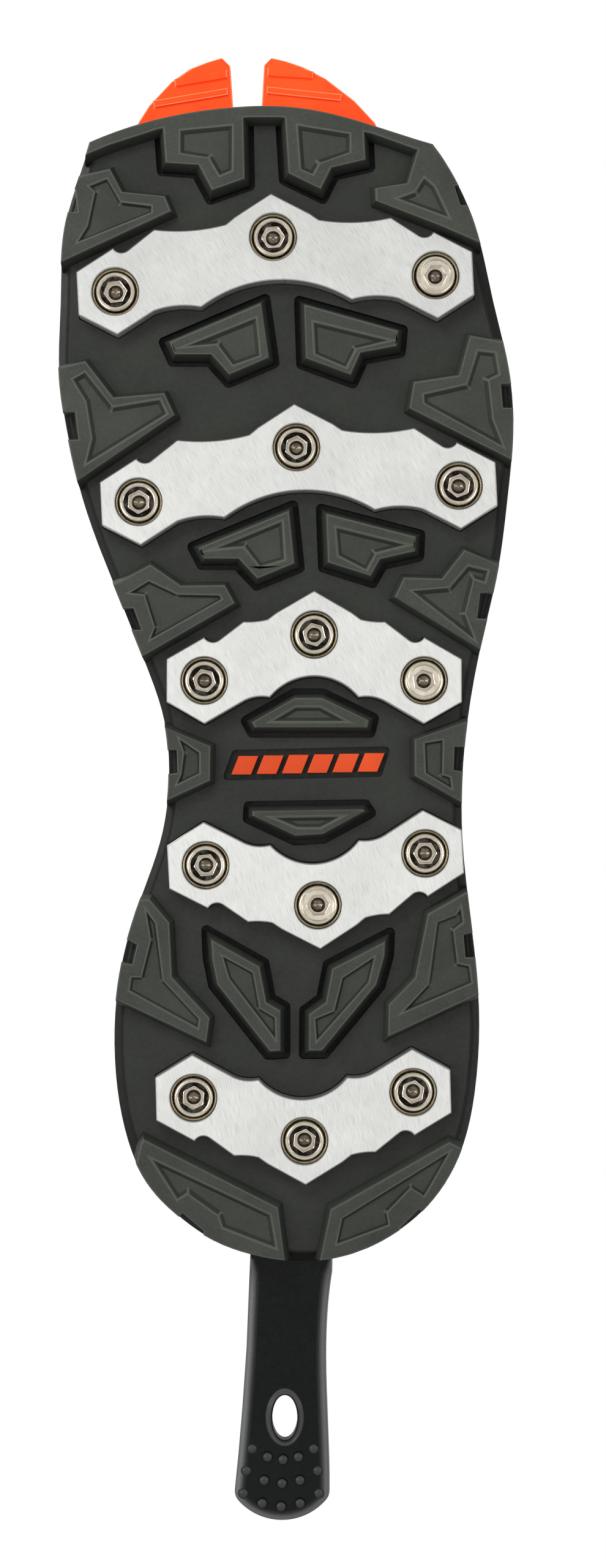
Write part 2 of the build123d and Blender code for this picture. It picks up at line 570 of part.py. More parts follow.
def half_of(whole, towards):
    """The part of a moulding on one side of the flex line: Align.MAX is towards the toe."""
    with BuildPart() as half:
        add(whole)
        with Locations((0, FLEX_Y, 0)):
            Box(2 * SOLE_HALF_SPAN, SOLE_LENGTH, 4 * WALL_TOP,
                align=(Align.CENTER, towards, Align.CENTER), mode=Mode.INTERSECT)
    return half.part.solids().sort_by(SortBy.VOLUME)[-1]


def make_bar(name):
    """An aluminium bar with three counterbored screw holes."""
    with BuildPart() as bar:
        with BuildSketch(bar_plane(name, 0)):
            add(bar_outline(BARS[name][0]))
        extrude(amount=BAR_THICK)
        chamfer(faces().sort_by(Axis.Z)[0].edges(), BAR_EDGE)
        with BuildSketch(bar_plane(name, 0)):
            with Locations(*bar_screws(name)):
                Circle(COUNTERBORE_R)
        extrude(amount=COUNTERBORE_DEPTH, mode=Mode.SUBTRACT)
        with BuildSketch(bar_plane(name, 0)):
            with Locations(*bar_screws(name)):
                Circle(BAR_HOLE_R)
        extrude(amount=BAR_THICK, mode=Mode.SUBTRACT)
    return bar.part


def make_washers(name):
    """Three cup washers: a flat bottom in each counterbore and a thin rim up round the screw head."""
    with BuildPart() as washers:
        with BuildSketch(bar_plane(name, COUNTERBORE_DEPTH - WASHER_THICK)):
            with Locations(*bar_screws(name)):
                Circle(WASHER_R)
                Circle(WASHER_HOLE_R, mode=Mode.SUBTRACT)
        extrude(amount=WASHER_THICK)
        with BuildSketch(bar_plane(name, WASHER_CUP_TOP)):
            with Locations(*bar_screws(name)):
                Circle(WASHER_R)
                Circle(WASHER_CUP_R, mode=Mode.SUBTRACT)
        extrude(amount=COUNTERBORE_DEPTH - WASHER_CUP_TOP)
    return washers.part


def make_screws(name):
    """Three socket-head screws, heads just inside the bar's face."""
    head_seat = COUNTERBORE_DEPTH - WASHER_THICK
    with BuildPart() as screws:
        with BuildSketch(bar_plane(name, HEAD_FACE)):
            with Locations(*bar_screws(name)):
                Circle(HEAD_R)
        extrude(amount=head_seat - HEAD_FACE)
        fillet(faces().group_by(Axis.Z)[0].edges(), HEAD_ROUND)
        with BuildSketch(bar_plane(name, HEAD_FACE)):
            with Locations(*bar_screws(name)):
                RegularPolygon(radius=HEX_FLATS / 2, side_count=6, major_radius=False)
        extrude(amount=HEX_DEPTH, mode=Mode.SUBTRACT)
        with BuildSketch(bar_plane(name, head_seat)):
            with Locations(*bar_screws(name)):
                Circle(SHANK_R)
        extrude(amount=PLATE_TOP - FLANGE_THICK - head_seat)
    return screws.part


def make_inserts(name):
    """Three flanged threaded inserts, pressed in from the boot side of the lock plate."""
    with BuildPart() as inserts:
        with BuildSketch(bar_plane(name, POCKET_FLOOR)):
            with Locations(*bar_screws(name)):
                Circle(INSERT_R)
        extrude(amount=PLATE_TOP - FLANGE_THICK - POCKET_FLOOR)
        with BuildSketch(bar_plane(name, PLATE_TOP - FLANGE_THICK)):
            with Locations(*bar_screws(name)):
                Circle(FLANGE_R)
        extrude(amount=FLANGE_THICK)
        with BuildSketch(bar_plane(name, POCKET_FLOOR)):
            with Locations(*bar_screws(name)):
                Circle(INSERT_BORE_R)
        extrude(amount=PLATE_TOP - POCKET_FLOOR, mode=Mode.SUBTRACT)
    return inserts.part


pieces = {
    "outsole_forefoot": half_of(outsole.part, Align.MAX),
    "outsole_rearfoot": half_of(outsole.part, Align.MIN),
    "side_wall_forefoot": half_of(side_wall.part, Align.MAX),
    "side_wall_rearfoot": half_of(side_wall.part, Align.MIN),
    "lock_plate_forefoot": half_of(lock_plate.part, Align.MAX),
    "lock_plate_rearfoot": half_of(lock_plate.part, Align.MIN),
    "heel_strap_root": heel_strap_root.part,
    "heel_strap": heel_strap.part,
    "accent_inlay": accent_inlay.part,
}
for name in BARS:
    pieces[name] = make_bar(name)
    pieces[name + "_washers"] = make_washers(name)
    pieces[name + "_screws"] = make_screws(name)
    pieces[name + "_inserts"] = make_inserts(name)

for label, piece in pieces.items():
    piece.label = label
    export_step(piece, "parts/" + label + ".step")
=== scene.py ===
import json
from math import cos, pi, radians, sin

import bmesh
import bpy
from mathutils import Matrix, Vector
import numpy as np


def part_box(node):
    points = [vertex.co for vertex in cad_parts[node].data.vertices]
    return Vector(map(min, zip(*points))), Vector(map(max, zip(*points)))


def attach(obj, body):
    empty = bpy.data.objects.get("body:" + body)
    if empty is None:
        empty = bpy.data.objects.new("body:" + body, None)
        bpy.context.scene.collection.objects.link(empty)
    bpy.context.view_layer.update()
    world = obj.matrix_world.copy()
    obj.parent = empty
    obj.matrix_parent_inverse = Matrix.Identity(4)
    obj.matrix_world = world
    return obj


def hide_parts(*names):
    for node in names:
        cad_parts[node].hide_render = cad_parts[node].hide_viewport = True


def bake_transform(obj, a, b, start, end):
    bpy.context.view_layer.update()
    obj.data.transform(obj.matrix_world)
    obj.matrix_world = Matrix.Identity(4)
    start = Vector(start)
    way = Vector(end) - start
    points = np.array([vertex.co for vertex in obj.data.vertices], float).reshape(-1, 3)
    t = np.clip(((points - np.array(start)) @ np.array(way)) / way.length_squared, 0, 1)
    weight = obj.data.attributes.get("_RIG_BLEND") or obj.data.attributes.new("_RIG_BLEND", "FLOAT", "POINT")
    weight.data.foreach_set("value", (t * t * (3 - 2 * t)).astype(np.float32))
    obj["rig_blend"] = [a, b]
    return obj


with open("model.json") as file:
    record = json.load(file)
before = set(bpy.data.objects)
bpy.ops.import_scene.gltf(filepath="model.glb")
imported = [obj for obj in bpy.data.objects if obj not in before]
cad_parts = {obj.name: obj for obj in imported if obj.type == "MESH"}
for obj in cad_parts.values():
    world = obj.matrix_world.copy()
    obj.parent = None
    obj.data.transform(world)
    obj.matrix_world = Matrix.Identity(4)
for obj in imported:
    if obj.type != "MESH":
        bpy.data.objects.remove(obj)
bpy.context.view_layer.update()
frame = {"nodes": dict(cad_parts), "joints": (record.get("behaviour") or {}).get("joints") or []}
nodes = frame["nodes"]
joints = {joint["name"]: joint for joint in frame["joints"]}

# ---------------------------------------------------------------- driving dimensions, in metres
MM = 0.001
FLEX_Y = joints["toe_flex"]["pos_m"][1]
STRAP_HINGE_Y = joints["strap_flex"]["pos_m"][1]
PLATE_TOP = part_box("lock_plate_rearfoot")[1].z
PLATE_THICK = 3 * MM
PLATE_BOTTOM = PLATE_TOP - PLATE_THICK
TREAD_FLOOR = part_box("side_wall_rearfoot")[0].z
LUG_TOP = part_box("outsole_rearfoot")[0].z
PANEL_DEPTH = 1 * MM
WALL_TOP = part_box("side_wall_rearfoot")[1].z
BARS = ["toe_bar", "ball_bar", "arch_bar", "heel_front_bar", "heel_rear_bar"]
FORE_BARS = BARS[:2]

# Tolerances: corners that are one corner, a sliver's length, and how close counts as on a plane.
WELD = 0.02 * MM
SLIVER = 0.001 * MM
ON_FLEX_PLANE = 0.002 * MM
ON_CUT = 0.0001 * MM


# ---------------------------------------------------------------- materials
def material(name, colour, roughness, metallic=0.0):
    """A node material, its node tree and its shader."""
    made = bpy.data.materials.new(name)
    made.use_nodes = True
    shader = made.node_tree.nodes["Principled BSDF"]
    shader.inputs["Base Color"].default_value = (*colour, 1)
    shader.inputs["Roughness"].default_value = roughness
    shader.inputs["Metallic"].default_value = metallic
    made.diffuse_color = (*colour, 1)
    return made, made.node_tree, shader


def noise(tree, scale, detail=3.0, stretch=(1, 1, 1), turn=0.0, roughness=0.55):
    """A noise value in the object's own space; scale is in features per metre."""
    place = tree.nodes.new("ShaderNodeTexCoord")
    mapping = tree.nodes.new("ShaderNodeMapping")
    mapping.vector_type = "TEXTURE"
    mapping.inputs["Rotation"].default_value = (0, 0, turn)
    mapping.inputs["Scale"].default_value = [1 / each for each in stretch]
    made = tree.nodes.new("ShaderNodeTexNoise")
    made.inputs["Scale"].default_value = scale
    made.inputs["Detail"].default_value = detail
    made.inputs["Roughness"].default_value = roughness
    tree.links.new(place.outputs["Object"], mapping.inputs["Vector"])
    tree.links.new(mapping.outputs["Vector"], made.inputs["Vector"])
    return made.outputs["Fac"]


def attribute(tree, name):
    """A number that the mesh carries, 0 where it has none."""
    made = tree.nodes.new("ShaderNodeAttribute")
    made.attribute_name = name
    return made.outputs["Fac"]


def ramp(tree, value, stops):
    """A colour ramp: stops are (position, colour or grey)."""
    made = tree.nodes.new("ShaderNodeValToRGB")
    points = made.color_ramp.elements
    while len(points) < len(stops):
        points.new(0.5)
    for point, (position, colour) in zip(points, stops):
        point.position = position
        point.color = (*colour, 1) if hasattr(colour, "__len__") else (colour, colour, colour, 1)
    tree.links.new(value, made.inputs["Fac"])
    return made.outputs["Color"]


def mix(tree, factor, first, second, kind="MIX"):
    """A colour mix; factor, first and second are sockets, numbers or colours."""
    made = tree.nodes.new("ShaderNodeMix")
    made.data_type = "RGBA"
    made.blend_type = kind
    # By number, because the node has sockets of the same name for each kind of value.
    sockets = (made.inputs[0], made.inputs[6], made.inputs[7])
    for socket, given in zip(sockets, (factor, first, second)):
        if hasattr(given, "links"):
            tree.links.new(given, socket)
        elif hasattr(given, "__len__"):
            socket.default_value = (*given, 1)
        else:
            socket.default_value = given
    return made.outputs[2]


def bump(tree, shader, height, strength, distance):
    """Fine relief on a shader's surface from a height value; distance is its depth in metres."""
    made = tree.nodes.new("ShaderNodeBump")
    made.inputs["Strength"].default_value = strength
    made.inputs["Distance"].default_value = distance
    tree.links.new(height, made.inputs["Height"])
    tree.links.new(made.outputs["Normal"], shader.inputs["Normal"])


def rubber(name, dark, light, edge, roughness, grain=0.5, relief=0.35, specular=0.35):
    """Moulded rubber with shade painted into its colour: the dark colour where the painted height shade is 0
    and on the panel sides' painted shade, the light one where it is 1, and the edge colour where the edge
    layer is set, as a painted highlight.

    grain is how much the fine dusty speckle shows, relief how deep the skin's texture looks.
    """
    made, tree, shader = material(name, light, roughness)
    shader.inputs["Specular IOR Level"].default_value = specular
    body = ramp(tree, attribute(tree, "painted_height_shade"), [(0.0, dark), (1.0, light)])
    cloud = ramp(tree, noise(tree, 55, 4.0), [(0.3, 0.80), (0.7, 1.16)])
    body = mix(tree, 1.0, body, cloud, "MULTIPLY")
    speck = ramp(tree, noise(tree, 2600, 2.0, roughness=0.7), [(0.40, 0.74), (0.56, 1.0), (0.70, 1.55)])
    body = mix(tree, grain, body, mix(tree, 1.0, body, speck, "MULTIPLY"))
    body = mix(tree, attribute(tree, "painted_panel_shade"), body, dark)
    body = mix(tree, attribute(tree, "edge"), body, edge)
    tree.links.new(body, shader.inputs["Base Color"])
    rough = ramp(tree, noise(tree, 900, 3.0), [(0.3, roughness - 0.08), (0.7, roughness + 0.10)])
    tree.links.new(rough, shader.inputs["Roughness"])
    bump(tree, shader, noise(tree, 2400, 3.0), relief, 0.12 * MM)
    return made


# Tread colours: dark to light is painted shade from the deep grooves up to the lug faces; the edge colour is
# a painted highlight on the lugs' rounded rims.
tread_rubber = rubber(
    "tread_rubber", (0.0050, 0.0058, 0.0048), (0.0360, 0.0392, 0.0318), (0.061, 0.065, 0.054), 0.62,
)
wall_rubber = rubber(
    "wall_rubber", (0.0165, 0.0175, 0.0150), (0.0140, 0.0150, 0.0128), (0.042, 0.044, 0.038), 0.72,
    grain=0.3, specular=0.12,
)
# The strap's edge colour, far paler than its body, is a painted highlight on its soft edges, hook rim and
# dots' crowns.
strap_rubber = rubber(
    "strap_rubber", (0.0022, 0.0028, 0.0028), (0.0022, 0.0028, 0.0028), (0.15, 0.155, 0.15), 0.26,
    grain=0.2, relief=0.10, specular=0.24,
)


def nylon(name, colour, shade, roughness, depth, specular):
    """Moulded nylon: even colour with faint flow marks and pale edges.

    depth is how much light passes into it.
    """
    made, tree, shader = material(name, colour, roughness)
    shader.inputs["Specular IOR Level"].default_value = specular
    shader.inputs["Subsurface Weight"].default_value = depth
    shader.inputs["Subsurface Radius"].default_value = (4 * MM, 1.2 * MM, 0.5 * MM)
    shader.inputs["Subsurface Scale"].default_value = 1.0
    pale = tuple(min(1.0, channel * 1.7 + 0.06) for channel in colour)
    flow = ramp(tree, noise(tree, 70, 4.0, stretch=(1, 0.35, 1)), [(0.3, shade), (0.7, colour)])
    flow = mix(tree, attribute(tree, "edge"), flow, pale)
    tree.links.new(flow, shader.inputs["Base Color"])
    rough = ramp(tree, noise(tree, 600, 3.0), [(0.3, roughness - 0.06), (0.7, roughness + 0.08)])
    tree.links.new(rough, shader.inputs["Roughness"])
    bump(tree, shader, noise(tree, 1500, 3.0), 0.2, 0.08 * MM)
    return made


lock_nylon = nylon("lock_nylon", (1.0, 0.072, 0.011), (0.93, 0.052, 0.007), 0.42, 0.2, 0.18)
# The lock plate glows faintly: painted light in its colour, standing in for light passing through the nylon.
lock_shader = lock_nylon.node_tree.nodes["Principled BSDF"]
lock_shader.inputs["Emission Color"].default_value = (1.0, 0.085, 0.012, 1)
lock_shader.inputs["Emission Strength"].default_value = 0.12
inlay_plastic = nylon("inlay_plastic", (0.60, 0.066, 0.015), (0.50, 0.050, 0.011), 0.55, 0.0, 0.2)


def brushed(name, turn):
    """Bright aluminium plate with brushing along one direction, finer crossing scratches and faint stains."""
    made, tree, shader = material(name, (0.80, 0.81, 0.80), 0.42, 1.0)
    streaks = noise(tree, 240, 3.0, stretch=(1, 26, 1), turn=turn, roughness=0.6)
    cross = noise(tree, 170, 3.0, stretch=(1, 30, 1), turn=turn - 0.7, roughness=0.6)
    stains = ramp(tree, noise(tree, 60, 3.0), [(0.25, (0.83, 0.83, 0.805)), (0.65, (0.93, 0.928, 0.90))])
    lines = ramp(tree, streaks, [(0.30, 0.80), (0.48, 0.98), (0.72, 1.08)])
    marks = ramp(tree, cross, [(0.27, 0.78), (0.36, 1.0), (0.90, 1.0)])
    colour = mix(tree, 1.0, mix(tree, 1.0, stains, lines, "MULTIPLY"), marks, "MULTIPLY")
    colour = mix(tree, attribute(tree, "edge"), colour, (0.62, 0.635, 0.62))
    tree.links.new(colour, shader.inputs["Base Color"])
    rough = ramp(tree, streaks, [(0.25, 0.40), (0.75, 0.55)])
    tree.links.new(rough, shader.inputs["Roughness"])
    bump(tree, shader, mix(tree, 0.4, streaks, cross), 0.25, 0.06 * MM)
    return made


def plated(name, bright, dull, roughness, grain=0.0):
    """Nickel or brass: slightly warm metal with handling marks; grain makes an etched, dark-speckled face."""
    made, tree, shader = material(name, bright, roughness, 1.0)
    tone = ramp(tree, noise(tree, 320, 4.0, roughness=0.7), [(0.35 + 0.1 * grain, dull), (0.70, bright)])
    tree.links.new(tone, shader.inputs["Base Color"])
    roughest = roughness + 0.12 + 0.2 * grain
    rough = ramp(tree, noise(tree, 1200, 3.0), [(0.3, roughness - 0.05), (0.7, roughest)])
    tree.links.new(rough, shader.inputs["Roughness"])
    bump(tree, shader, noise(tree, 2600 if grain else 1400, 3.0), 0.04 + 0.6 * grain, 0.08 * MM)
    return made


nickel = plated("nickel", (1.0, 0.94, 0.82), (0.86, 0.79, 0.66), 0.13)
nickel_dark = plated("nickel_dark", (0.13, 0.115, 0.095), (0.012, 0.010, 0.008), 0.42, 1.0)
nickel_pale = plated("nickel_pale", (0.98, 0.90, 0.76), (0.74, 0.67, 0.55), 0.34, 0.15)
# Darker nickel inside the hexagonal socket's bowl: painted shade in the recess.
shaded_socket_nickel = plated("shaded_socket_nickel", (0.30, 0.26, 0.20), (0.12, 0.10, 0.08), 0.16)
washer_nickel = plated("washer_nickel", (0.74, 0.68, 0.56), (0.50, 0.45, 0.36), 0.26)
brass = plated("brass", (0.72, 0.52, 0.22), (0.50, 0.34, 0.12), 0.30)


# ---------------------------------------------------------------- mesh helpers
def piece(name, mesh, *materials):
    """A new object with its materials, in the frame of the CAD."""
    made = bpy.data.objects.new(name, mesh)
    bpy.context.scene.collection.objects.link(made)
    for each in materials:
        mesh.materials.append(each)
    return made


def to_mesh(name, bm, smooth_angle):
    """Finished mesh: shading is smooth below the angle, in degrees, and creased above it."""
    mesh = bpy.data.meshes.new(name)
    for face in bm.faces:
        face.smooth = True
    for edge in bm.edges:
        if len(edge.link_faces) == 2 and edge.calc_face_angle(0) > radians(smooth_angle):
            edge.smooth = False
    bm.to_mesh(mesh)
    bm.free()
    return mesh


def crease_level_faces(bm):
    """Creases the borders of level faces, apart from the rounded ones, so that they shade flat."""
    rounded = bm.faces.layers.float["edge"]
    bm.normal_update()
    for edge in bm.edges:
        level = [abs(face.normal.z) > 0.99999 for face in edge.link_faces]
        if any(level) and not all(level) and not any(face[rounded] for face in edge.link_faces):
            edge.smooth = False


def even_normals(obj):
    """Keeps the flat faces shading flat where they meet rounded edges."""
    modifier = obj.modifiers.new("even_normals", "WEIGHTED_NORMAL")
    modifier.keep_sharp = True
    modifier.weight = 60


def cad_copy(names, merge_flat=True):
    """CAD nodes as one surface: no cut faces on the flex line, seams welded, flat faces merged if wanted."""
    bm = bmesh.new()
    for name in names:
        bm.from_mesh(nodes[name].data)
    if len(names) > 1:
        on_cut = [face for face in bm.faces if all(abs(v.co.y - FLEX_Y) < ON_FLEX_PLANE for v in face.verts)]
        bmesh.ops.delete(bm, geom=on_cut, context="FACES")
    bmesh.ops.remove_doubles(bm, verts=bm.verts, dist=WELD)
    bmesh.ops.dissolve_degenerate(bm, edges=bm.edges, dist=SLIVER)
    if merge_flat:
        bmesh.ops.dissolve_limit(bm, angle_limit=radians(0.6), verts=bm.verts, edges=bm.edges)
    return bm


def round_edges(bm, width, least_angle, wanted=lambda edge: True, segments=2):
    """Rounds the wanted convex edges sharper than an angle and sets the edge layer to 1 on the new faces."""
    layer = bm.faces.layers.float.get("edge") or bm.faces.layers.float.new("edge")
    chosen = [
        edge for edge in bm.edges
        if len(edge.link_faces) == 2 and edge.calc_length() > 0.5 * width
        and edge.calc_face_angle_signed(0) > radians(least_angle) and wanted(edge)
    ]
    made = bmesh.ops.bevel(
        bm, geom=chosen, offset=width, offset_type="OFFSET", segments=segments, profile=0.5,
        affect="EDGES", clamp_overlap=False, loop_slide=True,
    )
    for face in made["faces"]:
        face[layer] = 1.0


def cut_rows(bm, low_y, high_y, step):
    """Cuts the mesh across its length so that it can bend."""
    rows = int(round((high_y - low_y) / step))
    for row in range(rows + 1):
        bmesh.ops.bisect_plane(
            bm, geom=[*bm.verts, *bm.edges, *bm.faces], dist=ON_CUT,
            plane_co=(0, low_y + row * step, 0), plane_no=(0, 1, 0),
        )


def around(points):
    """The length of a closed loop."""
    return sum((points[i] - points[i - 1]).length for i in range(len(points)))


def section(names, height):
    """Closed loops where a level plane cuts CAD nodes, longest first, as lists of 2-D points."""
    bm = cad_copy(names)
    bmesh.ops.bisect_plane(
        bm, geom=[*bm.verts, *bm.edges, *bm.faces], dist=ON_CUT, plane_co=(0, 0, height),
        plane_no=(0, 0, 1), clear_inner=True, clear_outer=True,
    )
    bmesh.ops.remove_doubles(bm, verts=bm.verts, dist=WELD)
    loops, left = [], set(bm.verts)
    for start in bm.verts:
        if start not in left:
            continue
        left.discard(start)
        loop, here = [start], start
        while True:
            ahead = [e.other_vert(here) for e in here.link_edges if e.other_vert(here) in left]
            if not ahead:
                break
            here = ahead[0]
            left.discard(here)
            loop.append(here)
        loops.append([Vector((v.co.x, v.co.y)) for v in loop])
    bm.free()
    return sorted(loops, key=lambda points: -around(points))


def resample(points, spacing):
    """The same closed loop with evenly spaced points, anticlockwise."""
    doubled_area = sum(points[i - 1].cross(points[i]) for i in range(len(points)))
    if doubled_area < 0:
        points = points[::-1]
    total = around(points)
    count = int(total / spacing)
    made, travelled, wanted = [], 0.0, 0.0
    closed = points + [points[0]]
    for start, end in zip(closed, closed[1:]):
        length = (end - start).length
        while wanted <= travelled + length and len(made) < count:
            made.append(start.lerp(end, (wanted - travelled) / max(length, 1e-12)))
            wanted += total / count
        travelled += length
    return made


def inward(points):
    """Directions into a closed anticlockwise loop at each of its points."""
    made = []
    for i, point in enumerate(points):
        along = (points[(i + 1) % len(points)] - points[i - 1]).normalized()
        made.append(Vector((-along.y, along.x)))
    return made


def rings_mesh(bm, rings, close_ends=True):
    """Skins closed rings of points one after another, and caps the first and last if wanted."""
    made = [[bm.verts.new(point) for point in ring] for ring in rings]
    for lower, upper in zip(made, made[1:]):
        for i in range(len(lower)):
            bm.faces.new((lower[i - 1], lower[i], upper[i], upper[i - 1]))
    if close_ends:
        bm.faces.new(made[0][::-1])
        bm.faces.new(made[-1])
    return made


def block(bm, outline, low, high, edge):
    """A flat moulding with rounded edges between two heights; outline is a closed 2-D loop."""
    curve = bpy.data.curves.new("outline", "CURVE")
    curve.dimensions = "2D"
    curve.fill_mode = "BOTH"
    curve.extrude = (high - low) / 2 - edge
    curve.bevel_depth = edge
    curve.bevel_resolution = 3
    curve.offset = -edge
    line = curve.splines.new("POLY")
    line.points.add(len(outline) - 1)
    for point, place in zip(line.points, outline):
        point.co = (place.x, place.y, 0, 1)
    line.use_cyclic_u = True
    holder = bpy.data.objects.new("outline", curve)
    bpy.context.scene.collection.objects.link(holder)
    mesh = bpy.data.meshes.new_from_object(holder)
    for vertex in mesh.vertices:
        vertex.co.z += (high + low) / 2
    bm.from_mesh(mesh)
    bmesh.ops.remove_doubles(bm, verts=bm.verts, dist=0.002 * MM)
    bpy.data.objects.remove(holder)
    bpy.data.curves.remove(curve)
    bpy.data.meshes.remove(mesh)


def paint(bm, name, value_of):
    """A number at each vertex, kept with the mesh when it bends."""
    layer = bm.verts.layers.float.new(name)
    for vertex in bm.verts:
        vertex[layer] = value_of(vertex.co)


# ---------------------------------------------------------------- tread
# The tread floor's level of painted shade, between the grooves' 0 and the lug faces' 1.
FLOOR_SHADE_LEVEL = 0.42
LUG_ROUND = 0.38 * MM


def painted_height_shade_of(place):
    """Painted shade by height: 0, darkest, deep in the grooves, the floor's level on the tread floor, 1,
    lightest, on the lug faces.
    """
    share = (TREAD_FLOOR - place.z) / (TREAD_FLOOR - LUG_TOP)
    painted_height_shade = FLOOR_SHADE_LEVEL + (1 - FLOOR_SHADE_LEVEL) * share if share >= 0 else FLOOR_SHADE_LEVEL + share
    return max(0.0, min(1.0, painted_height_shade))


def on_lug_face(edge):
    """Whether an edge borders a lug's face or the panel sunk into it."""
    return max(v.co.z for v in edge.verts) < LUG_TOP + PANEL_DEPTH + 0.2 * MM


def shade_panel_sides(bm, amount):
    """Paints shade on the sloping sides of the lug panels: their faces get a darker tone through a face
    layer.
    """
    painted_panel_shade = bm.faces.layers.float.new("painted_panel_shade")
    rounded = bm.faces.layers.float["edge"]
    for face in bm.faces:
        depth = face.calc_center_median().z - LUG_TOP
        if 0.1 * MM < depth < PANEL_DEPTH and 0.3 < -face.normal.z < 0.95 and not face[rounded]:
            face[painted_panel_shade] = amount


bm = cad_copy(["outsole_forefoot", "outsole_rearfoot"], merge_flat=False)
# The lugs' rounded rims get the edge layer, which the tread rubber paints paler: a painted highlight.
round_edges(bm, LUG_ROUND, 18, on_lug_face)
cut_rows(bm, FLEX_Y - 9 * MM, FLEX_Y + 9 * MM, 1 * MM)
bmesh.ops.triangulate(bm, faces=bm.faces)
bmesh.ops.holes_fill(bm, edges=[edge for edge in bm.edges if edge.is_boundary], sides=3)
crease_level_faces(bm)
shade_panel_sides(bm, 0.45)
paint(bm, "painted_height_shade", painted_height_shade_of)
tread = piece("tread", to_mesh("tread", bm, 24), tread_rubber)
even_normals(tread)
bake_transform(tread, "rearfoot", "forefoot", start=(0, FLEX_Y + 6 * MM, 0), end=(0, FLEX_Y - 5.5 * MM, 0))
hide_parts("outsole_forefoot", "outsole_rearfoot")


# ---------------------------------------------------------------- side wall
WALL_FOOT = 0.8 * MM
RIM_IN, RIM_OUT = 0.5 * MM, 1.1 * MM
QUARTER_TURN = [radians(15 * k) for k in range(7)]


def wall_section(width):
    """The wall's closed section as (distance from its inner face, height); width is its width at the rim.

    It stands straight above the lock plate and narrows to its foot on the tread below it.
    """
    made = [(0, TREAD_FLOOR + 0.05 * MM), (0, WALL_TOP - RIM_IN)]
    made += [(RIM_IN * (1 - cos(a)), WALL_TOP - RIM_IN * (1 - sin(a))) for a in QUARTER_TURN[1:]]
    made += [(width - RIM_OUT * (1 - sin(a)), WALL_TOP - RIM_OUT * (1 - cos(a))) for a in QUARTER_TURN]
    made += [(width, PLATE_BOTTOM + 1.5 * MM), (width - 0.06 * MM, PLATE_BOTTOM + 0.4 * MM)]
    flare_top = Vector((width - 0.30 * MM, PLATE_BOTTOM - 0.5 * MM))
    flare_foot = Vector((WALL_FOOT, TREAD_FLOOR + 0.35 * MM))
    made += [tuple(flare_top.lerp(flare_foot, share)) for share in (0, 0.25, 0.5, 0.75, 1)]
    made.append((WALL_FOOT - 0.25 * MM, TREAD_FLOOR + 0.05 * MM))
    return made


wall_loops = section(["side_wall_forefoot", "side_wall_rearfoot"], PLATE_BOTTOM - 0.3 * MM)
wall_outside = resample(wall_loops[0], 1.0 * MM)
wall_inside = resample(wall_loops[1], 0.4 * MM)
rings = []
for outer in wall_outside:
    inner = min(wall_inside, key=lambda point: (point - outer).length_squared)
    out = (outer - inner).normalized()
    profile = wall_section((outer - inner).length)
    rings.append([Vector((inner.x + out.x * u, inner.y + out.y * u, z)) for u, z in profile])
bm = bmesh.new()
rings_mesh(bm, rings + [rings[0]], close_ends=False)
bmesh.ops.remove_doubles(bm, verts=bm.verts, dist=SLIVER)
bmesh.ops.recalc_face_normals(bm, faces=bm.faces)
# Painted sheen by height: the wall's rubber is paler at its foot, where it flares out, and darker higher up.
paint(bm, "painted_height_shade", lambda place: max(0.0, min(1.0, (place.z - TREAD_FLOOR) / (9 * MM))))
wall = piece("side_wall", to_mesh("side_wall", bm, 40), wall_rubber)
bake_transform(wall, "rearfoot", "forefoot", start=(0, FLEX_Y + 6 * MM, 0), end=(0, FLEX_Y - 5.5 * MM, 0))
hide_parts("side_wall_forefoot", "side_wall_rearfoot")

# ---------------------------------------------------------------- lock plate
PLATE_ROUND = 0.3 * MM
bm = cad_copy(["lock_plate_forefoot", "lock_plate_rearfoot"], merge_flat=False)
round_edges(bm, PLATE_ROUND, 30)
cut_rows(bm, FLEX_Y - 7 * MM, FLEX_Y + 7 * MM, 1 * MM)
bmesh.ops.triangulate(bm, faces=bm.faces)
lock = piece("lock_plate", to_mesh("lock_plate", bm, 24), lock_nylon)
even_normals(lock)
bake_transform(lock, "rearfoot", "forefoot", start=(0, FLEX_Y + 6 * MM, 0), end=(0, FLEX_Y - 5.5 * MM, 0))
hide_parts("lock_plate_forefoot", "lock_plate_rearfoot")

# ---------------------------------------------------------------- heel strap
HOOK_RIM_HEIGHT = 0.6 * MM
STRAP_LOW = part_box("heel_strap")[0].z + HOOK_RIM_HEIGHT
STRAP_HIGH = PLATE_TOP
STRAP_ROOT_Y = STRAP_HINGE_Y - 9 * MM
# The soft edge from the face up to the back: (inset, height above the face, painted highlight), the first two
# in mm.
STRAP_EDGE = [(2.9, 0.0, 0.0), (2.1, 0.05, 0.12), (1.4, 0.20, 0.55), (0.8, 0.50, 1.0), (0.3, 1.0, 0.8),
              (0.0, 1.7, 0.3), (0.12, 2.3, 0.1), (0.45, 2.85, 0.0), (1.0, 3.25, 0.0), (1.7, 3.4, 0.0)]
# The rim round the hook hole: (outwards from the hole, height), in mm. Below 0 it stands out of the face.
HOLE_RIM = [(0.0, 1.6), (-0.05, 0.3), (0.05, -0.35), (0.30, -0.60), (0.62, -0.62), (0.85, -0.42),
            (1.0, -0.36), (1.25, -0.44), (1.55, -0.34), (1.80, -0.02), (1.90, 0.5)]
HOLE_SIDES = 72
# How much painted highlight the hook hole's rim and the grip dots' crowns get.
RIM_HIGHLIGHT, DOT_HIGHLIGHT = 0.3, 0.22
